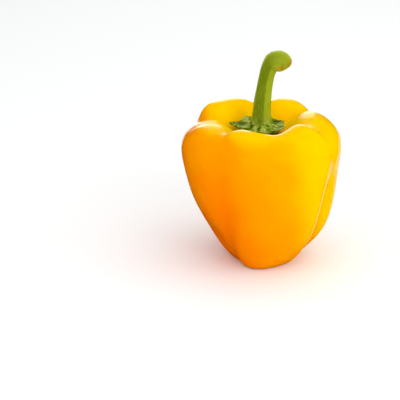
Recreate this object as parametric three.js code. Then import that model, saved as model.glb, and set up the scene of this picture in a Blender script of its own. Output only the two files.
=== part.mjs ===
// A bell pepper standing on the feet of its lobes: the fruit, its calyx and its stem.
// Millimetres, +Z up. The origin is on the ground, under the middle of the fruit.
// Azimuths are degrees about +Z, counted from +X towards +Y.
import * as THREE from 'three';
import { NURBSCurve } from 'three/addons/curves/NURBSCurve.js';

const { degToRad, radToDeg, clamp, lerp, smoothstep } = THREE.MathUtils;

// ---- driving dimensions ----

const waistRadius = 44.4; // half the fruit's width across the shoulders, before its furrows
const shoulderHeight = 85.2; // top of the shoulders, around the stem's cavity
const seatHeight = 73; // flat floor of the cavity, which the calyx sits on
const footRadius = 14.5; // ring of the lobes' feet, around the dimple at the blossom end
const footDip = -2; // the outline dips under the ground here, and the feet are cut flat at it
const dimpleHeight = 4; // blossom scar, above the ground
const stemAxis = -1.8; // the stem and its cavity stand a little to -X of the fruit's axis
const footShift = 1.0; // the feet stand a little to +X of it
const leanHeight = 60; // and the fruit is back over its axis at this height

const calyxThickness = 2.2; // at the stem; the rim is thinner
const calyxRimThickness = 0.9;
const calyxFlatRadius = 7.3; // flat middle, between the cavity's floor and the stem
const calyxRadius = 12.2; // rim between two teeth
const calyxRimHeight = 76.6; // underside of the rim between two teeth

const stemFootRadius = 7.2; // flared foot, on the calyx
const stemBaseRadius = 5.6; // just above the foot
const stemRadius = 4.3; // slimmest part, below the hook
const stemEndRadius = 5.8; // swollen end, where it was cut
const ribDepth = 0.1; // share of the stem's radius that the hollows between its ribs take off
const ribAzimuth = -78; // one of the stem's ribs
const ribCount = 5;

// ---- fruit ----

// Half outline from the blossom scar, round the shoulder, to the middle of the cavity:
// control points of a cubic, as radius and height.
const outlinePoints = [
  [0, dimpleHeight],
  [6, dimpleHeight],
  [footRadius - 3.5, footDip + 0.3],
  [footRadius + 2.5, footDip],
  [25.5, 7],
  [33, 20],
  [39, 35],
  [waistRadius - 1.4, 50],
  [waistRadius, 63],
  [waistRadius - 2.1, 75],
  [35.5, shoulderHeight - 2],
  [27.5, shoulderHeight + 0.4],
  [20.5, shoulderHeight - 3.4],
  [16, seatHeight + 2.2],
  [12.8, seatHeight],
  [10.2, seatHeight],
  [6.8, seatHeight],
  [3.3, seatHeight],
  [0, seatHeight],
];

// A furrow runs from the foot, up the side and over the shoulder. Its azimuth and depth are
// given at four shares of the outline's length. It is a narrow crease in a broad valley (half
// widths in degrees), and its lean makes the flank towards lower azimuths steeper.
const stations = [0.15, 0.45, 0.64, 0.77];
const furrows = [
  { azimuth: [-26, -30, -30, -34], depth: [3.2, 4.4, 1.0, 4.0], crease: 6, valley: 14, lean: 0.4 },
  { azimuth: [38, 38, 36, 34], depth: [2.6, 3.0, 3.6, 5.6], crease: 5, valley: 16, lean: 0 },
  { azimuth: [95, 95, 93, 91], depth: [0, 0.6, 2.0, 4.8], crease: 8, valley: 16, lean: 0 },
  { azimuth: [145, 152, 160, 168], depth: [2.6, 3.0, 3.4, 3.6], crease: 6, valley: 15, lean: 0 },
  { azimuth: [-136, -122, -124, -135], depth: [1.0, 2.1, 2.6, 4.4], crease: 6, valley: 13, lean: 0 },
  { azimuth: [-79, -79, -79, -76], depth: [0, 0, 0.6, 4.6], crease: 16, valley: 22, lean: 0 },
];

// A low or high place on a lobe: how far it moves out and up, at which azimuth and which
// share of the outline's length, and how wide it is each way.
const swells = [
  { azimuth: 176, share: 0.76, out: -1.5, up: -3.4, spread: 18, reach: 0.11 },
  { azimuth: -154, share: 0.79, out: 0.8, up: -3.4, spread: 20, reach: 0.08 },
  { azimuth: 2, share: 0.74, out: -0.6, up: -3, spread: 25, reach: 0.09 },
  { azimuth: -20, share: 0.77, out: 0, up: -1.3, spread: 11, reach: 0.07 },
  { azimuth: -108, share: 0.77, out: -0.6, up: -2.4, spread: 22, reach: 0.08 },
  { azimuth: -45, share: 0.77, out: 0.2, up: 0.6, spread: 20, reach: 0.08 },
  { azimuth: 150, share: 0.73, out: 1.2, up: 0.8, spread: 14, reach: 0.07 },
  { azimuth: -104, share: 0.15, out: 2.2, up: -1.2, spread: 28, reach: 0.07 },
  { azimuth: -170, share: 0.65, out: 1.9, up: 0.5, spread: 30, reach: 0.1 },
  { azimuth: -4, share: 0.54, out: -1.2, up: 0, spread: 24, reach: 0.1 },
  { azimuth: -9, share: 0.29, out: 3.4, up: 0, spread: 22, reach: 0.12 },
  { azimuth: -152, share: 0.24, out: -4, up: 0, spread: 26, reach: 0.12 },
];

const fruitSegments = 72; // around the fruit
const outlineSteps = 42; // along its half outline

// Difference between two azimuths, from -180 to 180 degrees.
function turn(from, to) {
  return ((((to - from + 180) % 360) + 360) % 360) - 180;
}

function bell(distance, width) {
  return Math.exp(-((distance / width) ** 2));
}

// A peak with a rounded crest and long straight sides.
function ridge(distance, width) {
  return Math.exp(1 - Math.hypot(1, distance / width));
}

// Eases from one station's value to the next.
function atStation(values, share) {
  return stations.slice(1).reduce(
    (value, next, i) => value + (values[i + 1] - values[i]) * smoothstep(share, stations[i], next),
    values[0],
  );
}

// The outline as evenly spaced points, with the outward normal at each.
function outline() {
  const degree = 3;
  const inner = outlinePoints.length - degree - 1;
  const knots = [
    ...Array(degree + 1).fill(0),
    ...Array.from({ length: inner }, (_, i) => (i + 1) / (inner + 1)),
    ...Array(degree + 1).fill(1),
  ];
  const poles = outlinePoints.map(([radius, height]) => new THREE.Vector4(radius, height, 0, 1));
  const curve = new NURBSCurve(degree, knots, poles);
  curve.arcLengthDivisions = 2000;
  return Array.from({ length: outlineSteps + 1 }, (_, i) => {
    const share = i / outlineSteps;
    const point = curve.getPointAt(share);
    const along = curve.getTangentAt(share);
    const isPole = i === 0 || i === outlineSteps;
    return {
      share,
      radius: isPole ? 0 : point.x,
      height: point.y,
      normal: new THREE.Vector2(along.y, -along.x),
    };
  });
}

// How far the skin is moved out and up from the plain turned shape: in along its normal at
// the furrows, and each way at the swells.
function relief(share, azimuth, normal) {
  let out = 0;
  let up = 0;
  for (const furrow of furrows) {
    const from = turn(atStation(furrow.azimuth, share), azimuth);
    const away = from / (from < 0 ? 1 - furrow.lean : 1 + furrow.lean);
    const shape = (ridge(away, furrow.crease) + bell(away, furrow.valley)) / 2;
    const depth = atStation(furrow.depth, share) * shape;
    out -= depth * normal.x;
    up -= depth * normal.y;
  }
  for (const swell of swells) {
    const near = bell(turn(swell.azimuth, azimuth), swell.spread) * bell(share - swell.share, swell.reach);
    out += swell.out * near;
    up += swell.up * near;
  }
  const calm = smoothstep(share, 0, 0.12) * (1 - smoothstep(share, 0.84, 0.93)); // plain at both poles
  return { out: out * calm, up: up * calm };
}

function fruitGeometry() {
  const points = outline();
  const turned = new THREE.LatheGeometry(
    points.map(({ radius, height }) => new THREE.Vector2(radius, height)),
    fruitSegments,
  );
  turned.rotateX(Math.PI / 2);
  const position = turned.getAttribute('position');
  for (let i = 0; i < position.count; i++) {
    const { share, radius, height, normal } = points[i % points.length];
    const angle = (Math.floor(i / points.length) / fruitSegments) * 2 * Math.PI - Math.PI / 2;
    const { out, up } = relief(share, radToDeg(angle), normal);
    const z = Math.max(height + up, 0); // the feet are flat where they touch the ground
    const lean = footShift * (1 - clamp(z / leanHeight, 0, 1)) + stemAxis * smoothstep(share, 0.7, 0.9);
    const x = lean + (radius + out) * Math.cos(angle);
    const y = (radius + out) * Math.sin(angle);
    position.setXYZ(i, x, y, z);
  }
  turned.computeVertexNormals();
  return turned;
}

// ---- calyx ----

// Teeth of the calyx: azimuth, how far each reaches from the stem's axis, and how far its
// tip curls up above the rim.
const teeth = [
  { azimuth: 176, reach: 16.8, curl: 0.8 },
  { azimuth: -132, reach: 14, curl: 0.2 },
  { azimuth: -78, reach: 13.4, curl: -0.6 },
  { azimuth: -24, reach: 14.2, curl: 0.2 },
  { azimuth: 16, reach: 13.6, curl: 1.2 },
  { azimuth: 68, reach: 13.6, curl: 1.2 },
  { azimuth: 122, reach: 13.8, curl: 1.6 },
];
const toothWidth = 10; // half width, in degrees
const calyxSegments = 70;

function rimAt(azimuth) {
  let radius = calyxRadius;
  let height = calyxRimHeight;
  for (const tooth of teeth) {
    const near = ridge(turn(tooth.azimuth, azimuth), toothWidth);
    radius += (tooth.reach - calyxRadius) * near;
    height += tooth.curl * near;
  }
  return { radius, height };
}

// A thin dish: flat in the middle, then rising to the toothed rim. The lathe's radius is
// 1 at the rim, and its height is 0 on the underside and 1 on the top.
function calyxGeometry() {
  const shares = [0, 0.3, 0.5, 0.62, 0.74, 0.86, 1];
  const profile = [
    ...shares.map((share) => new THREE.Vector2(share, 0)),
    ...shares.toReversed().map((share) => new THREE.Vector2(share, 1)),
  ];
  const dish = new THREE.LatheGeometry(profile, calyxSegments);
  dish.rotateX(Math.PI / 2);
  const position = dish.getAttribute('position');
  for (let i = 0; i < position.count; i++) {
    const share = profile[i % profile.length].x;
    const side = profile[i % profile.length].y;
    const angle = (Math.floor(i / profile.length) / calyxSegments) * 2 * Math.PI - Math.PI / 2;
    const rim = rimAt(radToDeg(angle));
    const outer = clamp((share - 0.5) / 0.5, 0, 1); // 0 up to the flat middle's edge, 1 at the rim
    const radius = share < 0.5 ? calyxFlatRadius * share * 2 : lerp(calyxFlatRadius, rim.radius, outer);
    const rise = (rim.height - seatHeight) * outer * (0.55 + 0.45 * outer);
    const thickness = lerp(calyxThickness, calyxRimThickness, smoothstep(outer, 0, 1));
    position.setXYZ(
      i,
      stemAxis + radius * Math.cos(angle),
      radius * Math.sin(angle),
      seatHeight + rise + side * thickness,
    );
  }
  dish.computeVertexNormals();
  return dish;
}

// ---- stem ----

const stemFootHeight = seatHeight + calyxThickness;

// The stem's middle line rises from the calyx, leans over and hooks towards +X and -Y.
const stemLine = new THREE.CatmullRomCurve3([
  new THREE.Vector3(stemAxis, 0, stemFootHeight),
  new THREE.Vector3(stemAxis + 0.2, 0, stemFootHeight + 5.8),
  new THREE.Vector3(stemAxis + 0.5, 0, stemFootHeight + 12.8),
  new THREE.Vector3(stemAxis + 1.1, 0, stemFootHeight + 18.8),
  new THREE.Vector3(stemAxis + 2.1, 0, stemFootHeight + 25.8),
  new THREE.Vector3(stemAxis + 3.6, -0.3, stemFootHeight + 32.4),
  new THREE.Vector3(stemAxis + 6.2, -1.2, stemFootHeight + 37.2),
  new THREE.Vector3(stemAxis + 9.2, -2.3, stemFootHeight + 38.1),
  new THREE.Vector3(stemAxis + 11.3, -3.2, stemFootHeight + 36.9),
  new THREE.Vector3(stemAxis + 12.9, -4.1, stemFootHeight + 34.2),
]);
const stemSegments = 40; // around the stem
const stemSteps = 40; // along it
const roundedShare = 0.1; // share of its length over which the cut end rounds off

// Radius along the stem: flared foot, slim neck, swollen end.
function stemRadiusAt(share) {
  const foot = (stemFootRadius - stemBaseRadius) * (1 - smoothstep(share, 0, 0.2));
  const body = lerp(stemBaseRadius, stemRadius, smoothstep(share, 0.05, 0.55));
  const end = (stemEndRadius - stemRadius) * smoothstep(share, 0.7, 0.9);
  const past = Math.max(share - 1 + roundedShare, 0) / roundedShare;
  return (foot + body + end) * Math.sqrt(1 - 0.8 * past * past);
}

function stemGeometry() {
  const stem = new THREE.CylinderGeometry(1, 1, 1, stemSegments, stemSteps);
  stem.rotateX(Math.PI / 2);
  const position = stem.getAttribute('position');
  const here = new THREE.Vector3();
  const across = new THREE.Vector3();
  const behind = new THREE.Vector3();
  for (let i = 0; i < position.count; i++) {
    here.fromBufferAttribute(position, i);
    const share = clamp(here.z + 0.5, 0, 1);
    const isRim = Math.hypot(here.x, here.y) > 0.5; // not the middle of an end face
    const angle = Math.atan2(here.y, here.x);
    const hollow = (1 - Math.cos(ribCount * (angle - degToRad(ribAzimuth)))) / 2;
    const calm = 1 - smoothstep(share, 0.8, 1); // the ribs fade into the swollen end
    const radius = isRim ? stemRadiusAt(share) * (1 - ribDepth * hollow * calm) : 0;
    const along = stemLine.getTangentAt(share);
    across.set(0, 1, 0).cross(along).normalize();
    behind.crossVectors(along, across);
    stemLine.getPointAt(share, here);
    here.addScaledVector(across, radius * Math.cos(angle));
    here.addScaledVector(behind, radius * Math.sin(angle));
    position.setXYZ(i, here.x, here.y, share === 0 ? stemFootHeight : here.z);
  }
  stem.computeVertexNormals();
  return stem;
}

// ---- the pepper ----

function piece(name, geometry, color, roughness) {
  const mesh = new THREE.Mesh(
    geometry,
    new THREE.MeshStandardMaterial({ color, roughness, metalness: 0 }),
  );
  mesh.name = name;
  return mesh;
}

const pepper = new THREE.Group();
pepper.add(
  piece('fruit', fruitGeometry(), '#ffbe05', 0.28),
  piece('calyx', calyxGeometry(), '#6f7f1c', 0.6),
  piece('stem', stemGeometry(), '#84961a', 0.5),
);

// Put the origin under the middle of the fruit.
const middle = new THREE.Box3().setFromObject(pepper).getCenter(new THREE.Vector3());
pepper.position.set(-middle.x, -middle.y, 0);

export default pepper;
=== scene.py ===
import math

import bpy
from mathutils import Matrix, Vector, noise
from mathutils.kdtree import KDTree


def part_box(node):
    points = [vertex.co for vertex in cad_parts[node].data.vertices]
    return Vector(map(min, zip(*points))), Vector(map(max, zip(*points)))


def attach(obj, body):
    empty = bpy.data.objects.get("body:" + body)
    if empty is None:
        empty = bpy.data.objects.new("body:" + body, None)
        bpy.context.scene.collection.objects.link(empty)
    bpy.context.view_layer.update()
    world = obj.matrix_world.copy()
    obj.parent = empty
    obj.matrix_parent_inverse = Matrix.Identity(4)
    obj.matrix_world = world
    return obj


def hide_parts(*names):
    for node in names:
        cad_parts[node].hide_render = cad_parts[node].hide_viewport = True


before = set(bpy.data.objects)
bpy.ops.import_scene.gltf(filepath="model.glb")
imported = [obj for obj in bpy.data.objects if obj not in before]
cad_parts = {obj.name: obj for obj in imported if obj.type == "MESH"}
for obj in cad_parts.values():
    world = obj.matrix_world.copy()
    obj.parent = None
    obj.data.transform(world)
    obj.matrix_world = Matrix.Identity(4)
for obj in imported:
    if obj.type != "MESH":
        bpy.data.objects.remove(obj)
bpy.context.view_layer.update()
millimetre = 0.001
print("frame loaded")


def smoothStep(value, low, high):
    share = min(max((value - low) / (high - low), 0.0), 1.0)
    return share * share * (3 - 2 * share)


def mix(first, second, share):
    return first + (second - first) * share


def bell(distance, width):
    return math.exp(-((distance / width) ** 2))


def ridge(distance, width):  # a peak with a rounded crest and long straight sides
    return math.exp(1 - math.hypot(1, distance / width))


def turnFrom(start, azimuth):  # degrees from one azimuth to another, -180 to 180
    return (azimuth - start + 180) % 360 - 180


def deselectAll():
    if bpy.context.mode != "OBJECT":
        bpy.ops.object.mode_set(mode="OBJECT")
    bpy.ops.object.select_all(action="DESELECT")


def workOn(piece):
    deselectAll()
    piece.select_set(True)
    bpy.context.view_layer.objects.active = piece


# Draws a half outline as a smooth path, makes it an edge chain and spins it round +Z.
def spinOutline(name, outline, smoothness, steps):
    deselectAll()
    bpy.ops.curve.primitive_nurbs_path_add()
    path = bpy.context.object
    path.name = name
    spline = path.data.splines[0]
    spline.points.add(len(outline) - len(spline.points))
    for point, (radius, height) in zip(spline.points, outline):
        point.co = (radius * millimetre, 0, height * millimetre, 1)
    spline.order_u = 4
    spline.use_endpoint_u = True
    spline.resolution_u = smoothness
    bpy.ops.object.convert(target="MESH")
    piece = bpy.context.object
    chain = [vertex.co.copy() for vertex in piece.data.vertices]
    bpy.ops.object.mode_set(mode="EDIT")
    bpy.ops.mesh.select_all(action="SELECT")
    bpy.ops.mesh.spin(steps=steps, angle=math.tau, center=(0, 0, 0), axis=(0, 0, 1))
    bpy.ops.mesh.select_all(action="SELECT")
    bpy.ops.mesh.remove_doubles(threshold=0.01 * millimetre)
    bpy.ops.mesh.normals_make_consistent(inside=False)
    bpy.ops.object.mode_set(mode="OBJECT")
    return piece, chain


# For each vertex of a spun piece: its share of the outline's length, and the outline's normal there.
def alongOutline(piece, chain):
    lengths = [0.0]
    for before, after in zip(chain, chain[1:]):
        lengths.append(lengths[-1] + (after - before).length)
    finder = KDTree(len(chain))
    for index, point in enumerate(chain):
        finder.insert(point, index)
    finder.balance()
    places = []
    for vertex in piece.data.vertices:
        radius = math.hypot(vertex.co.x, vertex.co.y)
        _, index, _ = finder.find((radius, 0, vertex.co.z))
        before = chain[max(index - 1, 0)]
        after = chain[min(index + 1, len(chain) - 1)]
        along = (after - before).normalized()
        places.append((lengths[index] / lengths[-1], Vector((along.z, 0, -along.x))))
    return places


def smoothMesh(piece, levels):
    workOn(piece)
    subdivision = piece.modifiers.new("subdivision", "SUBSURF")
    subdivision.levels = levels
    subdivision.render_levels = levels
    bpy.ops.object.modifier_apply(modifier=subdivision.name)
    bpy.ops.object.shade_smooth()


def storeShare(piece, name, values):  # one number for each vertex, which a material reads by name
    layer = piece.data.attributes.new(name, "FLOAT", "POINT")
    for item, value in zip(layer.data, values):
        item.value = value


# Moves and stretches a finished mesh so that it fills its CAD node's box, in height too unless
# told not to.
def fitToBox(piece, node, tall=True):
    low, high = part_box(node)
    corners = [Vector(corner) for corner in piece.bound_box]
    ownLow = Vector(min(corner[axis] for corner in corners) for axis in range(3))
    ownHigh = Vector(max(corner[axis] for corner in corners) for axis in range(3))
    stretch = [(high[axis] - low[axis]) / (ownHigh[axis] - ownLow[axis]) for axis in range(3)]
    if not tall:
        stretch[2], ownLow.z = 1, low.z
    print(node, "stretched by", [round(value, 4) for value in stretch])
    fit = Matrix.Translation(low) @ Matrix.Diagonal((*stretch, 1)) @ Matrix.Translation(-ownLow)
    piece.data.transform(fit)


def hexColour(code):  # sRGB hex to linear, with alpha
    channels = [int(code[place:place + 2], 16) / 255 for place in (1, 3, 5)]
    linear = [((value + 0.055) / 1.055) ** 2.4 if value > 0.04045 else value / 12.92 for value in channels]
    return (*linear, 1.0)


# Adds a node. Settings are its properties. An input is a value, a socket to link or a node whose
# first output is linked. A maths node's inputs are 0 to 2, and a colour mix's are its share, 0,
# and its colours, 6 and 7.
def addNode(tree, kind, inputs=None, **settings):
    node = tree.nodes.new(kind)
    for name, value in settings.items():
        setattr(node, name, value)
    for name, value in (inputs or {}).items():
        if isinstance(value, bpy.types.Node):
            value = value.outputs[0]
        if isinstance(value, bpy.types.NodeSocket):
            tree.links.new(value, node.inputs[name])
        else:
            node.inputs[name].default_value = value
    return node


def setStops(ramp, stops):  # the places and colours of a colour ramp, in order
    first, last = ramp.elements
    first.position, first.color = stops[0][0], hexColour(stops[0][1])
    last.position, last.color = stops[-1][0], hexColour(stops[-1][1])
    for position, code in stops[1:-1]:
        ramp.elements.new(position).color = hexColour(code)


def noiseScale(size):  # for a noise texture whose spots are this far apart, mm
    return 1 / (size * millimetre)


def newMaterial(name):
    material = bpy.data.materials.new(name)
    material.use_nodes = True
    material.node_tree.nodes.clear()
    return material, material.node_tree


studio = {
    "lens": 120,  # mm, on a 36 mm sensor: a long lens from some way back
    "lookingDown": 21,  # degrees
    "aimAt": 0.9,  # mm to +X, the middle of the pepper's feet
    "distance": 753.3,  # mm, from the lens to the pepper's foot
    "aside": 34.5,  # mm, the pepper stands this far right of the picture's middle
    "below": 30.8,  # mm, and its foot this far below it
    "floorSize": 4000,  # mm
    "lightsAimAt": 50,  # mm up the pepper
    "skyStrength": 0.68,  # white light from all round
}

# Each light either shows as a highlight in the gloss or fills in: mm and watts.
studioLights = [
    {"name": "backSoftbox", "place": (0, 1200, 330), "size": (520, 900), "watts": 3.3, "use": "gloss"},
    {"name": "rimSoftbox", "place": (-170, 1200, -80), "size": (560, 420), "watts": 1.1, "use": "gloss"},
    {"name": "lowSoftbox", "place": (450, 1200, -450), "size": (900, 700), "watts": 1.4, "use": "gloss"},
    {"name": "topSoftbox", "place": (300, 0, 1500), "size": (1800, 1800), "watts": 10, "use": "fill"},
    {"name": "frontSoftbox", "place": (700, -1500, 700), "size": (1600, 1200), "watts": 14, "use": "fill"},
    {"name": "rightSoftbox", "place": (1500, -300, 700), "size": (1200, 1200), "watts": 5, "use": "fill"},
    {"name": "leftSoftbox", "place": (-1500, -700, 600), "size": (1200, 1200), "watts": 4, "use": "fill"},
]


def setUpCamera():
    tilt = math.radians(studio["lookingDown"])
    back = Vector((0, -math.cos(tilt), math.sin(tilt)))
    up = Vector((0, math.sin(tilt), math.cos(tilt)))
    foot = Vector((studio["aimAt"], 0, 0))
    spot = foot + back * studio["distance"] - Vector((studio["aside"], 0, 0)) + up * studio["below"]
    deselectAll()
    bpy.ops.object.camera_add(location=spot * millimetre, rotation=(math.pi / 2 - tilt, 0, 0))
    camera = bpy.context.object
    camera.name = "camera"
    camera.data.lens = studio["lens"]
    camera.data.clip_start = 0.01
    bpy.context.scene.camera = camera


# Studio floor: matt white paint, so it shows only the pepper's soft shadow and its warm glow.
def layFloor():
    bpy.ops.mesh.primitive_plane_add(size=studio["floorSize"] * millimetre)
    floor = bpy.context.object
    floor.name = "studioFloor"
    material, tree = newMaterial("paintedStudioFloor")
    shader = addNode(tree, "ShaderNodeBsdfPrincipled", {"Base Color": hexColour("#f4f5f5"), "Roughness": 0.9})
    addNode(tree, "ShaderNodeOutputMaterial", {"Surface": shader})
    floor.data.materials.append(material)
    floor.visible_glossy = False  # no white floor in the skin's gloss


def setUpLights():
    world = bpy.data.worlds.new("studio")
    bpy.context.scene.world = world
    world.cycles.sampling_method = "NONE"  # so that gloss sees its own, darker surroundings
    world.use_nodes = True
    tree = world.node_tree
    tree.nodes.clear()
    white = (1, 1, 1, 1)
    ray = addNode(tree, "ShaderNodeLightPath")
    seen = addNode(tree, "ShaderNodeBackground", {"Color": white, "Strength": 1.0})
    fill = addNode(tree, "ShaderNodeBackground", {"Color": white, "Strength": studio["skyStrength"]})
    dark = addNode(tree, "ShaderNodeBackground", {"Color": white, "Strength": 0.0})
    soft = addNode(tree, "ShaderNodeMixShader", {0: ray.outputs["Is Glossy Ray"], 1: fill, 2: dark})
    both = addNode(tree, "ShaderNodeMixShader", {0: ray.outputs["Is Camera Ray"], 1: soft, 2: seen})
    addNode(tree, "ShaderNodeOutputWorld", {"Surface": both})
    aim = Vector((0, 0, studio["lightsAimAt"] * millimetre))
    for light in studioLights:
        bpy.ops.object.light_add(type="AREA", location=[value * millimetre for value in light["place"]])
        box = bpy.context.object
        box.name = light["name"]
        box.data.shape = "RECTANGLE"
        box.data.size, box.data.size_y = [value * millimetre for value in light["size"]]
        box.data.energy = light["watts"]
        box.rotation_euler = (aim - box.location).to_track_quat("-Z", "Y").to_euler()
        box.visible_glossy = light["use"] == "gloss"
        box.visible_diffuse = light["use"] == "fill"
    bpy.context.scene.view_settings.view_transform = "Standard"


setUpCamera()
layFloor()
setUpLights()
print("studio set up")

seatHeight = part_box("calyx")[0].z / millimetre  # flat floor of the stem's cavity

fruit = {
    # half outline from the blossom scar round the shoulder to the cavity's floor: radius, height, mm
    "outline": [
        (0, 4), (6, 4), (11, -1.7), (17, -2), (25.5, 7), (33, 20), (39, 35), (43, 50), (44.4, 63),
        (42.3, 75), (35.5, 83.2), (27.5, 85.6), (20.5, 81.8), (16, 75.2), (12.8, seatHeight),
        (10.2, seatHeight), (6.8, seatHeight), (3.3, seatHeight), (0, seatHeight),
    ],
    "smoothness": 5,  # points between two of the outline's
    "steps": 144,
    "stemAxis": -1.8,  # mm, the cavity stands this far to -X of the fruit's axis
    "stemAxisFrom": (0.7, 0.9),  # shares of the outline between which it goes over to there
    "footShift": 1.0,  # mm, and the feet this far to +X
    "leanHeight": 60,  # mm, the fruit leans up to here
    # furrows: azimuth and depth in mm at the foot, side, neck and shoulder; half widths in degrees of
    # the crease and the valley round it; a lean makes the flank towards lower azimuths steeper
    "stations": (0.15, 0.45, 0.64, 0.77),  # shares of the outline where those are
    "furrows": [
        {"azimuth": (-26, -30, -30, -34), "depth": (3.2, 4.4, 1, 4), "crease": 6, "valley": 14, "lean": 0.4},
        {"azimuth": (38, 38, 36, 34), "depth": (2.6, 3.0, 3.6, 5.6), "crease": 5, "valley": 16},
        {"azimuth": (95, 95, 93, 91), "depth": (0, 0.6, 2.0, 4.8), "crease": 8, "valley": 16},
        {"azimuth": (145, 152, 160, 168), "depth": (2.6, 3.0, 3.4, 3.6), "crease": 6, "valley": 15},
        {"azimuth": (-136, -122, -124, -135), "depth": (1.0, 2.1, 2.6, 4.4), "crease": 6, "valley": 13},
        {"azimuth": (-79, -79, -79, -76), "depth": (0, 0, 0.6, 4.6), "crease": 16, "valley": 22},
        {"azimuth": (-168, -168, -168, -168), "depth": (0, 0, 0.1, 1.3), "crease": 4, "valley": 6},
    ],
    # low and high places on the lobes: mm out and up, width in degrees and in shares of the outline
    "swells": [
        {"azimuth": 176, "share": 0.76, "out": -1.5, "up": -3.4, "spread": 18, "reach": 0.11},
        {"azimuth": 206, "share": 0.79, "out": 0.8, "up": -3.4, "spread": 20, "reach": 0.08},
        {"azimuth": 2, "share": 0.74, "out": -0.6, "up": -3.0, "spread": 25, "reach": 0.09},
        {"azimuth": -20, "share": 0.77, "out": 0, "up": -1.3, "spread": 11, "reach": 0.07},
        {"azimuth": -108, "share": 0.77, "out": -0.6, "up": -2.4, "spread": 22, "reach": 0.08},
        {"azimuth": -45, "share": 0.77, "out": 0.2, "up": 0.6, "spread": 20, "reach": 0.08},
        {"azimuth": 150, "share": 0.73, "out": 1.2, "up": 0.8, "spread": 14, "reach": 0.07},
        {"azimuth": -104, "share": 0.15, "out": 2.2, "up": -1.2, "spread": 28, "reach": 0.07},
        {"azimuth": 190, "share": 0.65, "out": 1.9, "up": 0.5, "spread": 30, "reach": 0.1},
        {"azimuth": -4, "share": 0.54, "out": -1.2, "up": 0, "spread": 24, "reach": 0.1},
        {"azimuth": -9, "share": 0.29, "out": 3.4, "up": 0, "spread": 22, "reach": 0.12},
        {"azimuth": 208, "share": 0.24, "out": -4.0, "up": 0, "spread": 26, "reach": 0.12},
    ],
    # shares of the outline: the scar and the cavity's floor stay round and even
    "lobesFrom": 0.12,
    "lobesEnd": (0.84, 0.93),
    "unevenness": 0.25,  # mm, slight hills and hollows
    "unevenSize": 16,  # mm, from one hill to the next
}


def lobedness(share):  # 1 where the lobes are, down to 0 at the scar and the cavity's floor
    return smoothStep(share, 0, fruit["lobesFrom"]) * (1 - smoothStep(share, *fruit["lobesEnd"]))


def atStation(values, share):  # eases from one station's value to the next
    value = values[0]
    for low, high, step in zip(fruit["stations"], fruit["stations"][1:], range(1, 4)):
        value += (values[step] - values[step - 1]) * smoothStep(share, low, high)
    return value


# How far the skin moves out and up at a place, in mm, and how much of that is furrow.
def fruitRelief(share, azimuth, normal):
    out = up = carved = 0.0
    for furrow in fruit["furrows"]:
        away = turnFrom(atStation(furrow["azimuth"], share), azimuth)
        lean = furrow.get("lean", 0)
        away /= 1 - lean if away < 0 else 1 + lean
        shape = (ridge(away, furrow["crease"]) + bell(away, furrow["valley"])) / 2
        cut = atStation(furrow["depth"], share) * shape
        out -= cut * normal.x
        up -= cut * normal.z
        carved += cut
    for swell in fruit["swells"]:
        near = bell(turnFrom(swell["azimuth"], azimuth), swell["spread"])
        near *= bell(share - swell["share"], swell["reach"])
        out += swell["out"] * near
        up += swell["up"] * near
    lobed = lobedness(share)
    return out * lobed, up * lobed, carved * lobed


def makeFruit():
    piece, chain = spinOutline("pepperFruit", fruit["outline"], fruit["smoothness"], fruit["steps"])
    places = alongOutline(piece, chain)
    furrowDepths = []
    for vertex, (share, normal) in zip(piece.data.vertices, places):
        angle = math.atan2(vertex.co.y, vertex.co.x)
        out, up, carved = fruitRelief(share, math.degrees(angle), normal)
        hill = noise.noise(vertex.co / (fruit["unevenSize"] * millimetre)) * fruit["unevenness"]
        hill *= lobedness(share)
        radius = math.hypot(vertex.co.x, vertex.co.y) / millimetre + out + hill * normal.x
        height = max(vertex.co.z / millimetre + up + hill * normal.z, 0)  # flat feet to stand on
        lean = fruit["footShift"] * (1 - min(height / fruit["leanHeight"], 1))
        lean += fruit["stemAxis"] * smoothStep(share, *fruit["stemAxisFrom"])
        vertex.co = Vector((lean + radius * math.cos(angle), radius * math.sin(angle), height)) * millimetre
        furrowDepths.append(carved)
    storeShare(piece, "furrow", furrowDepths)
    storeShare(piece, "along", [place[0] for place in places])
    smoothMesh(piece, 1)
    fitToBox(piece, "fruit")
    return piece


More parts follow.
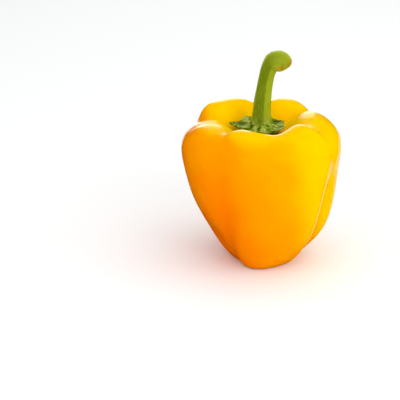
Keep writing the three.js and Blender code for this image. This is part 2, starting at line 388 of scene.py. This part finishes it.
# Pepper skin: a thin waxy cuticle over wet flesh, so it is glossy, deep and slightly see-through.
def pepperSkin():
    material, tree = newMaterial("waxyPepperSkin")
    coords = addNode(tree, "ShaderNodeTexCoord").outputs["Object"]
    place = addNode(tree, "ShaderNodeSeparateXYZ", {0: coords})
    furrow = addNode(tree, "ShaderNodeAttribute", attribute_name="furrow").outputs["Fac"]
    along = addNode(tree, "ShaderNodeAttribute", attribute_name="along").outputs["Fac"]
    # ripening colour and painted light together: orange at the lower left, yellower to the upper right,
    # partly real and partly painted light; painted light on the shoulders and painted shade in the furrows
    # partly the fruit's own ripening colour, partly painted light: yellower to the right and upwards
    sidewaysRipeAndLit = addNode(tree, "ShaderNodeMath", {0: place.outputs["X"], 1: 6.0, 2: 0.12},
                       operation="MULTIPLY_ADD")
    upwardsRipeAndLit = addNode(tree, "ShaderNodeMath", {0: place.outputs["Z"], 1: 4.5, 2: sidewaysRipeAndLit},
                      operation="MULTIPLY_ADD")
    blotches = addNode(tree, "ShaderNodeTexNoise", {
        "Vector": coords, "Scale": noiseScale(36), "Detail": 2.0, "Roughness": 0.5,
    })
    uneven = addNode(tree, "ShaderNodeMath", {0: blotches, 1: 0.3, 2: upwardsRipeAndLit}, operation="MULTIPLY_ADD")
    # painted shade: more orange the deeper the furrow
    furrowPaintedShade = addNode(tree, "ShaderNodeMath", {0: furrow, 1: -0.05, 2: uneven}, operation="MULTIPLY_ADD")
    # painted light: the shoulders yellower, as where light from above falls on them
    shoulderPaintedLight = addNode(tree, "ShaderNodeMapRange", {
        "Value": along, "From Min": 0.66, "From Max": 0.78, "To Max": 0.4,
    }, interpolation_type="SMOOTHSTEP")
    # partly ripening, partly painted light: yellower still on the right side, where the lamps fall
    rightSideRipeAndLit = addNode(tree, "ShaderNodeMapRange", {
        "Value": place.outputs["X"], "From Min": 12 * millimetre, "From Max": 36 * millimetre, "To Max": 0.28,
    }, interpolation_type="SMOOTHSTEP")
    higher = addNode(tree, "ShaderNodeMath", {0: furrowPaintedShade, 1: shoulderPaintedLight}, operation="ADD")
    overall = addNode(tree, "ShaderNodeMath", {0: higher, 1: rightSideRipeAndLit}, operation="ADD")
    # the ramp turns ripening and painted light together into colour
    ripenessAndPaintedLight = addNode(tree, "ShaderNodeValToRGB", {0: overall})
    ripenessAndPaintedLight.color_ramp.interpolation = "EASE"
    setStops(ripenessAndPaintedLight.color_ramp, [(0.1, "#ff7800"), (0.45, "#ff9d00"), (0.85, "#ffc200")])
    # painted shade: a dark brown ring on the skin under the calyx's edge, where its shadow falls
    underCalyxPaintedShade = addNode(tree, "ShaderNodeMapRange", {
        "Value": along, "From Min": 0.91, "From Max": 0.94,
    }, interpolation_type="SMOOTHSTEP")
    paintedShadeUnderCalyx = addNode(tree, "ShaderNodeMix", {
        0: underCalyxPaintedShade, 6: ripenessAndPaintedLight, 7: hexColour("#6a2a06"),
    }, data_type="RGBA")
    # blossom scar, a corky spot at the foot
    scar = addNode(tree, "ShaderNodeMapRange", {
        "Value": along, "From Min": 0.012, "From Max": 0.026, "To Min": 1.0, "To Max": 0.0,
    }, interpolation_type="SMOOTHSTEP")
    scarred = addNode(tree, "ShaderNodeMix", {
        0: scar, 6: paintedShadeUnderCalyx.outputs[2], 7: hexColour("#7a5a2c"),
    }, data_type="RGBA")
    grain = addNode(tree, "ShaderNodeTexNoise", {"Vector": coords, "Scale": noiseScale(1.1), "Detail": 2.0})
    waves = addNode(tree, "ShaderNodeTexNoise", {"Vector": coords, "Scale": noiseScale(11), "Detail": 1.0})
    heights = addNode(tree, "ShaderNodeMath", {0: waves, 1: 6.0, 2: grain}, operation="MULTIPLY_ADD")
    bump = addNode(tree, "ShaderNodeBump", {
        "Strength": 0.12, "Distance": 0.1 * millimetre, "Height": heights,
    })
    gloss = addNode(tree, "ShaderNodeMapRange", {
        "Value": blotches, "From Min": 0.3, "From Max": 0.7, "To Min": 0.2, "To Max": 0.28,
    })
    shader = addNode(tree, "ShaderNodeBsdfPrincipled", {
        "Base Color": scarred.outputs[2],
        "Roughness": gloss,
        "IOR": 1.45,
        "Subsurface Weight": 1.0,
        "Subsurface Radius": (1.0, 0.4, 0.06),
        "Subsurface Scale": 2.5 * millimetre,
        "Normal": bump,
    })
    addNode(tree, "ShaderNodeOutputMaterial", {"Surface": shader})
    return material


fruitPiece = makeFruit()
fruitPiece.data.materials.append(pepperSkin())
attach(fruitPiece, "root")
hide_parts("fruit")
print("fruit made:", len(fruitPiece.data.polygons), "faces")

# Middle of the stem's flat foot, which the calyx and the stem are both built round.
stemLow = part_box("stem")[0]
footRing = [
    vertex.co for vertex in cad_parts["stem"].data.vertices
    if vertex.co.z < stemLow.z + 0.01 * millimetre
]
stemFoot = sum(footRing, Vector()) / len(footRing)

calyx = {
    # half outline from the middle underneath round the rim to the middle on top: radius, height, mm
    "outline": [
        (0, 73), (3.6, 73), (6.4, 73), (7.6, 73.1), (9.2, 73.7), (10.8, 74.8), (11.8, 75.6), (12.3, 76.2),
        (12.2, 76.7), (11.5, 76.5), (10.4, 76.0), (9.4, 75.7), (8.5, 75.7), (7.7, 76.1), (7.0, 76.9),
        (6.3, 77.6), (5.2, 78.0), (2.6, 78.0), (0, 78.0),
    ],
    "smoothness": 5,
    "steps": 160,
    "flatRadius": 7.3,  # mm, the round hub under the stem's foot, with no folds or teeth
    "radius": 12.2,  # mm, between the teeth
    "overEdge": 1.1,  # the edge moves at most this share of what its teeth and folds give
    # teeth: azimuth, how far out each reaches and how far it curls up, mm
    "teeth": [
        {"azimuth": 176, "reach": 16.8, "curl": 0.8},
        {"azimuth": -132, "reach": 14.0, "curl": 0.2},
        {"azimuth": -78, "reach": 13.4, "curl": -0.6},
        {"azimuth": -24, "reach": 14.2, "curl": 0.2},
        {"azimuth": 16, "reach": 13.6, "curl": 1.2},
        {"azimuth": 68, "reach": 13.6, "curl": 1.2},
        {"azimuth": 122, "reach": 13.8, "curl": 1.6},
    ],
    "toothWidth": 10,  # degrees
    # veins that run out from the stem's ribs: azimuth and height next to the stem, mm
    "veins": [
        {"azimuth": -76, "height": 1.9},
        {"azimuth": -6, "height": 1.3},
        {"azimuth": 62, "height": 1.0},
        {"azimuth": 130, "height": 1.0},
        {"azimuth": -160, "height": 2.4},
        {"azimuth": -120, "height": 0.8},
        {"azimuth": -40, "height": 0.8},
    ],
    "veinWidth": 11,  # degrees
    "veinWander": 6,  # degrees to either side, on the way out
    "wanders": 0.35,  # for each mm outwards
    "veinsFrom": 6,  # mm from the middle, next to the stem
    "veinsSink": 4,  # mm, over which they sink to about a third
    "veinsAbove": 75.3,  # mm, they swell the top only
    "crinkle": 0.6,  # mm, folds of the leafy edge, which run outwards
    "crinkles": 4.5,
    "crinkleLength": 7,  # mm
    "fineCrinkles": 2.3,  # times as many, and half as high
    "foldsFull": 0.35,  # share of the way out from the hub at which the folds reach full height
    "raggedness": 0.9,  # mm, of the edge
    "rags": 1.6,  # times as many as the folds
}


def makeCalyx():
    piece, _ = spinOutline("pepperCalyx", calyx["outline"], calyx["smoothness"], calyx["steps"])
    middle = Vector((stemFoot.x, stemFoot.y, 0)) / millimetre
    leafWidth = calyx["radius"] - calyx["flatRadius"]
    unlikeFolds = Vector((9, 0, 0))  # the edge's rags read another part of the noise
    reliefs = []
    for vertex in piece.data.vertices:
        radius = math.hypot(vertex.co.x, vertex.co.y) / millimetre
        height = vertex.co.z / millimetre
        angle = math.atan2(vertex.co.y, vertex.co.x)
        azimuth = math.degrees(angle)
        leafy = min(max((radius - calyx["flatRadius"]) / leafWidth, 0), calyx["overEdge"])
        reach = curl = vein = swell = 0.0
        for tooth in calyx["teeth"]:
            near = ridge(turnFrom(tooth["azimuth"], azimuth), calyx["toothWidth"])
            reach += (tooth["reach"] - calyx["radius"]) * near
            curl += tooth["curl"] * near
        sunk = math.exp(-max(radius - calyx["veinsFrom"], 0) / calyx["veinsSink"])
        for branch in calyx["veins"]:
            along = Vector((radius * calyx["wanders"], branch["azimuth"], 0))
            away = turnFrom(branch["azimuth"], azimuth) + calyx["veinWander"] * noise.noise(along)
            near = ridge(away, calyx["veinWidth"])
            vein = max(vein, near)
            swell = max(swell, near * branch["height"] * sunk)
        crinkles, outwards = calyx["crinkles"], radius / calyx["crinkleLength"]
        spot = Vector((math.cos(angle) * crinkles, math.sin(angle) * crinkles, outwards))
        fold = noise.noise(spot) + 0.5 * noise.noise(spot * calyx["fineCrinkles"])
        fold *= smoothStep(leafy, 0, calyx["foldsFull"])
        ragged = calyx["raggedness"] * noise.noise(spot * calyx["rags"] + unlikeFolds)
        radius += (reach + ragged) * leafy
        height += curl * leafy + calyx["crinkle"] * fold
        if height > calyx["veinsAbove"]:
            height += swell
        reliefs.append(0.6 * vein + 0.5 * fold)
        place = Vector((radius * math.cos(angle), radius * math.sin(angle), height))
        vertex.co = (middle + place) * millimetre
    storeShare(piece, "relief", reliefs)
    smoothMesh(piece, 1)
    fitToBox(piece, "calyx", tall=False)
    return piece


# Calyx: the leafy green collar, crinkled, dull and mottled, pale along its veins and folds.
def calyxSkin():
    material, tree = newMaterial("leafyCalyx")
    coords = addNode(tree, "ShaderNodeTexCoord").outputs["Object"]
    relief = addNode(tree, "ShaderNodeAttribute", attribute_name="relief").outputs["Fac"]
    patches = addNode(tree, "ShaderNodeTexNoise", {
        "Vector": coords, "Scale": noiseScale(1.6), "Detail": 3.0, "Roughness": 0.6,
    })
    specks = addNode(tree, "ShaderNodeTexNoise", {
        "Vector": coords, "Scale": noiseScale(0.67), "Detail": 2.0, "Roughness": 0.6,
    })
    raised = addNode(tree, "ShaderNodeMath", {0: relief, 1: 0.4}, operation="MULTIPLY")
    paintedLightTone = addNode(tree, "ShaderNodeMath", {0: patches, 1: 0.75, 2: raised}, operation="MULTIPLY_ADD")
    greens = addNode(tree, "ShaderNodeValToRGB", {0: paintedLightTone})
    setStops(greens.color_ramp, [(0.36, "#324a00"), (0.5, "#647a04"), (0.68, "#b0b85c")])
    speckled = addNode(tree, "ShaderNodeMapRange", {
        "Value": specks, "From Min": 0.58, "From Max": 0.7, "To Max": 0.6,
    })
    spotted = addNode(tree, "ShaderNodeMix", {
        0: speckled, 6: greens, 7: hexColour("#4c5c10"),
    }, data_type="RGBA")
    bump = addNode(tree, "ShaderNodeBump", {"Strength": 0.5, "Distance": 0.2 * millimetre, "Height": patches})
    shader = addNode(tree, "ShaderNodeBsdfPrincipled", {
        "Base Color": spotted.outputs[2],
        "Roughness": 0.5,
        "IOR": 1.42,
        "Specular IOR Level": 0.15,
        "Subsurface Weight": 1.0,
        "Subsurface Radius": (0.5, 0.8, 0.1),
        "Subsurface Scale": 0.4 * millimetre,
        "Normal": bump,
    })
    addNode(tree, "ShaderNodeOutputMaterial", {"Surface": shader})
    return material


calyxPiece = makeCalyx()
calyxPiece.data.materials.append(calyxSkin())
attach(calyxPiece, "root")
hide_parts("calyx")
print("calyx made:", len(calyxPiece.data.polygons), "faces")

stem = {
    # half outline from the middle of the foot to the middle of the cut end: radius, length along, mm
    "outline": [
        (0, 0), (3.6, 0), (6.6, 0), (7.5, 0.2), (6.9, 1.8), (6.1, 4.4), (5.5, 8), (5.1, 14), (4.7, 20),
        (4.4, 26), (4.4, 31), (4.6, 35), (5.1, 38.6), (5.5, 41.4), (5.9, 43.6), (6.1, 45.8), (5.4, 47.8),
        (3.8, 49.2), (1.9, 49.7), (0, 49.7),
    ],
    "smoothness": 5,
    "steps": 80,
    # the line it is bent to, from the middle of its foot: x, y, height, mm
    "line": [
        (0, 0, 0), (0.2, 0, 5.8), (0.5, 0, 12.8), (1.1, 0, 18.8), (2.1, 0, 25.8), (3.6, -0.3, 32.4),
        (6.2, -1.2, 37.2), (9.2, -2.3, 38.1), (11.4, -3.2, 36.9), (13.2, -4.3, 33.6),
    ],
    # ribs: azimuth at the foot, height and how far each runs out at the foot, mm; the tone is the painted
    # light and shade of the side that follows the rib, 0 shaded dark to 1 lit light green
    "ribs": [
        {"azimuth": -78, "height": 0.55, "flare": 1.0, "paintedLightTone": 0.9},
        {"azimuth": -6, "height": 0.5, "flare": 1.2, "paintedLightTone": 0.5},
        {"azimuth": 62, "height": 0.5, "flare": 0.8, "paintedLightTone": 0.3},
        {"azimuth": 130, "height": 0.5, "flare": 0.8, "paintedLightTone": 0.55},
        {"azimuth": -150, "height": 0.55, "flare": 1.4, "paintedLightTone": 0.1},
    ],
    "ribWidth": 13,  # degrees, half the width of a rib's crest
    "paintedLightToneWidth": 4,  # degrees past a rib, up to where the side has only its own painted light tone
    "hollow": 0.3,  # mm, of the sides between the ribs
    "footHollow": 0.5,  # mm, deeper at the foot
    "footLength": 3.2,  # mm, the flared part
    "core": 3.5,  # mm, the radius inside which the end faces have no ribs
    "swollen": (0.82, 0.96),  # shares of the length between which the ribs go down to half
    "cutDepth": (1.6, 0.5),  # mm before the end, where the cut face starts and is full
    "cutRadius": (3.6, 4.6),  # mm, inside the first it is all cut face
    "lumps": 0.13,  # mm
    "lumpSize": 2.6,  # mm
    "lumpsDrawn": 0.4,  # lumps along the stem for each one across
    "lumpsFrom": (0.5, 3),  # mm along, so that the foot stays flat
}


# Place and direction on the stem's line, at a length along it.
def onLine(points, length):
    for index in range(len(points) - 1):
        start, end = Vector(points[index]), Vector(points[index + 1])
        step = (end - start).length
        if length <= step or index == len(points) - 2:
            break
        length -= step
    before = Vector(points[index - 1]) if index > 0 else start * 2 - end
    after = Vector(points[index + 2]) if index + 2 < len(points) else end * 2 - start
    t = min(length / step, 1.0)
    enter, leave = (end - before) / 2, (after - start) / 2
    place = start * (2 * t ** 3 - 3 * t ** 2 + 1) + enter * (t ** 3 - 2 * t ** 2 + t)
    place += end * (3 * t ** 2 - 2 * t ** 3) + leave * (t ** 3 - t ** 2)
    along = start * (6 * t ** 2 - 6 * t) + enter * (3 * t ** 2 - 4 * t + 1)
    along += end * (6 * t - 6 * t ** 2) + leave * (3 * t ** 2 - 2 * t)
    return place, along.normalized()


# Painted light tone of the side that an azimuth is on, lit or shaded. Just past a rib it still has some of
# the side before.
def sidePaintedLightTone(azimuth):
    ribs = sorted(stem["ribs"], key=lambda rib: (azimuth - rib["azimuth"]) % 360)
    past = (azimuth - ribs[0]["azimuth"]) % 360
    share = smoothStep(past, -stem["paintedLightToneWidth"], stem["paintedLightToneWidth"])
    return mix(ribs[-1]["paintedLightTone"], ribs[0]["paintedLightTone"], share)


def makeStem():
    piece, _ = spinOutline("pepperStem", stem["outline"], stem["smoothness"], stem["steps"])
    points = stem["line"]
    total = sum((Vector(after) - Vector(before)).length for before, after in zip(points, points[1:]))
    tall = max(vertex.co.z for vertex in piece.data.vertices) / millimetre
    ribsFade = [share * tall for share in stem["swollen"]]
    cutFrom, cutFull = [tall - depth for depth in stem["cutDepth"]]
    paintedLightTones, crests, cuts, straight = [], [], [], []
    for vertex in piece.data.vertices:
        straight.append(vertex.co.copy())
        radius = math.hypot(vertex.co.x, vertex.co.y) / millimetre
        length = vertex.co.z / millimetre
        azimuth = math.degrees(math.atan2(vertex.co.y, vertex.co.x))
        side = min(radius / stem["core"], 1.0)
        ribbed = 1 - 0.5 * smoothStep(length, *ribsFade)
        footed = bell(length, stem["footLength"])
        crest = 0.0
        for rib in stem["ribs"]:
            near = ridge(turnFrom(rib["azimuth"], azimuth), stem["ribWidth"])
            radius += near * (rib["height"] * ribbed + footed * rib["flare"]) * side
            crest = max(crest, near)
        radius -= (stem["hollow"] * ribbed + stem["footHollow"] * footed) * side
        # painted light and shade of this side, stored for the material
        paintedLightTones.append(sidePaintedLightTone(azimuth))
        crests.append(crest * side)
        cuts.append(smoothStep(length, cutFrom, cutFull) * (1 - smoothStep(radius, *stem["cutRadius"])))
        spot = Vector((vertex.co.x, vertex.co.y, vertex.co.z * stem["lumpsDrawn"]))
        spot /= stem["lumpSize"] * millimetre
        radius += stem["lumps"] * noise.noise(spot) * side * smoothStep(length, *stem["lumpsFrom"])
        place, along = onLine(points, length * total / tall)
        across = Vector((0, 1, 0)).cross(along).normalized()
        behind = along.cross(across)
        if length < 0.05:  # the foot is flat on the calyx
            across, behind = Vector((1, 0, 0)), Vector((0, 1, 0))
        angle = math.radians(azimuth)
        place = place + across * radius * math.cos(angle) + behind * radius * math.sin(angle)
        vertex.co = stemFoot + place * millimetre
    storeShare(piece, "paintedLightTone", paintedLightTones)
    storeShare(piece, "crest", crests)
    storeShare(piece, "cutFace", cuts)
    layer = piece.data.attributes.new("straight", "FLOAT_VECTOR", "POINT")
    for item, place in zip(layer.data, straight):
        item.vector = place
    smoothMesh(piece, 1)
    fitToBox(piece, "stem")
    return piece


# Stem: a green ribbed stalk with fibres along it, dull and a little hairy, drying where it was cut.
# Its patterns read the place each point had before the stem was bent.
def stemSkin():
    material, tree = newMaterial("fibrousGreenStem")
    straight = addNode(tree, "ShaderNodeAttribute", attribute_name="straight").outputs["Vector"]
    # painted light and shade: the sides between the ribs lighter or darker by how they face the lamps
    paintedLightTone = addNode(tree, "ShaderNodeAttribute", attribute_name="paintedLightTone").outputs["Fac"]
    crest = addNode(tree, "ShaderNodeAttribute", attribute_name="crest").outputs["Fac"]
    cut = addNode(tree, "ShaderNodeAttribute", attribute_name="cutFace").outputs["Fac"]
    length = addNode(tree, "ShaderNodeSeparateXYZ", {0: straight}).outputs["Z"]
    # fibres ten times as long as they are wide
    drawn = addNode(tree, "ShaderNodeMapping", {"Vector": straight, "Scale": (1.0, 1.0, 0.1)})
    fibres = addNode(tree, "ShaderNodeTexNoise", {
        "Vector": drawn, "Scale": noiseScale(0.91), "Detail": 3.0, "Roughness": 0.6,
    })
    specks = addNode(tree, "ShaderNodeTexNoise", {
        "Vector": straight, "Scale": noiseScale(0.77), "Detail": 2.0, "Roughness": 0.7,
    })
    patches = addNode(tree, "ShaderNodeTexNoise", {
        "Vector": straight, "Scale": noiseScale(2.4), "Detail": 3.0,
    })
    shade = addNode(tree, "ShaderNodeMath", {0: fibres, 1: 0.7, 2: paintedLightTone}, operation="MULTIPLY_ADD")
    lift = addNode(tree, "ShaderNodeMath", {0: crest, 1: 0.12, 2: shade}, operation="MULTIPLY_ADD")
    greens = addNode(tree, "ShaderNodeValToRGB", {0: lift})
    setStops(greens.color_ramp, [(0.3, "#5c7202"), (0.9643, "#92a21c")])
    # dark pores
    pores = addNode(tree, "ShaderNodeMapRange", {
        "Value": specks, "From Min": 0.6, "From Max": 0.7, "To Max": 0.55,
    })
    pored = addNode(tree, "ShaderNodeMix", {0: pores, 6: greens, 7: hexColour("#4a5a08")}, data_type="RGBA")
    # pale dry hairs
    hairs = addNode(tree, "ShaderNodeTexNoise", {"Vector": drawn, "Scale": noiseScale(0.48), "Detail": 1.0})
    pale = addNode(tree, "ShaderNodeMapRange", {
        "Value": hairs, "From Min": 0.52, "From Max": 0.66, "To Max": 0.3,
    })
    haired = addNode(tree, "ShaderNodeMix", {
        0: pale, 6: pored.outputs[2], 7: hexColour("#a9b44a"),
    }, data_type="RGBA")
    # the foot is mottled like the calyx
    mottles = addNode(tree, "ShaderNodeValToRGB", {0: patches})
    setStops(mottles.color_ramp, [(0.4, "#4c6400"), (0.62, "#a4ae54")])
    footing = addNode(tree, "ShaderNodeMapRange", {
        "Value": length, "From Min": 2 * millimetre, "From Max": 9 * millimetre,
        "To Min": 0.75, "To Max": 0.0,
    }, interpolation_type="SMOOTHSTEP")
    footed = addNode(tree, "ShaderNodeMix", {0: footing, 6: haired.outputs[2], 7: mottles}, data_type="RGBA")
    # yellower towards the swollen end, dry and brown round the cut
    ending = addNode(tree, "ShaderNodeMapRange", {
        "Value": length, "From Min": 36 * millimetre, "From Max": 44 * millimetre, "To Max": 0.45,
    }, interpolation_type="SMOOTHSTEP")
    yellowed = addNode(tree, "ShaderNodeMix", {
        0: ending, 6: footed.outputs[2], 7: hexColour("#a9b030"),
    }, data_type="RGBA")
    rim = addNode(tree, "ShaderNodeMapRange", {
        "Value": length, "From Min": 45.8 * millimetre, "From Max": 47.6 * millimetre,
    }, interpolation_type="SMOOTHSTEP")
    dry = addNode(tree, "ShaderNodeMapRange", {
        "Value": patches, "From Min": 0.42, "From Max": 0.6, "To Max": 0.85,
    })
    dryRim = addNode(tree, "ShaderNodeMath", {0: rim, 1: dry}, operation="MULTIPLY")
    browned = addNode(tree, "ShaderNodeMix", {
        0: dryRim, 6: yellowed.outputs[2], 7: hexColour("#b06c12"),
    }, data_type="RGBA")
    ended = addNode(tree, "ShaderNodeMix", {
        0: cut, 6: browned.outputs[2], 7: hexColour("#8c9a1a"),
    }, data_type="RGBA")
    heights = addNode(tree, "ShaderNodeMath", {0: fibres, 1: 1.5, 2: specks}, operation="MULTIPLY_ADD")
    bump = addNode(tree, "ShaderNodeBump", {
        "Strength": 0.35, "Distance": 0.12 * millimetre, "Height": heights,
    })
    shader = addNode(tree, "ShaderNodeBsdfPrincipled", {
        "Base Color": ended.outputs[2],
        "Roughness": 0.46,
        "IOR": 1.42,
        "Subsurface Weight": 1.0,
        "Subsurface Radius": (0.5, 0.8, 0.1),
        "Subsurface Scale": 0.6 * millimetre,
        "Normal": bump,
    })
    addNode(tree, "ShaderNodeOutputMaterial", {"Surface": shader})
    return material


stemPiece = makeStem()
stemPiece.data.materials.append(stemSkin())
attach(stemPiece, "root")
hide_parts("stem")
print("stem made:", len(stemPiece.data.polygons), "faces")
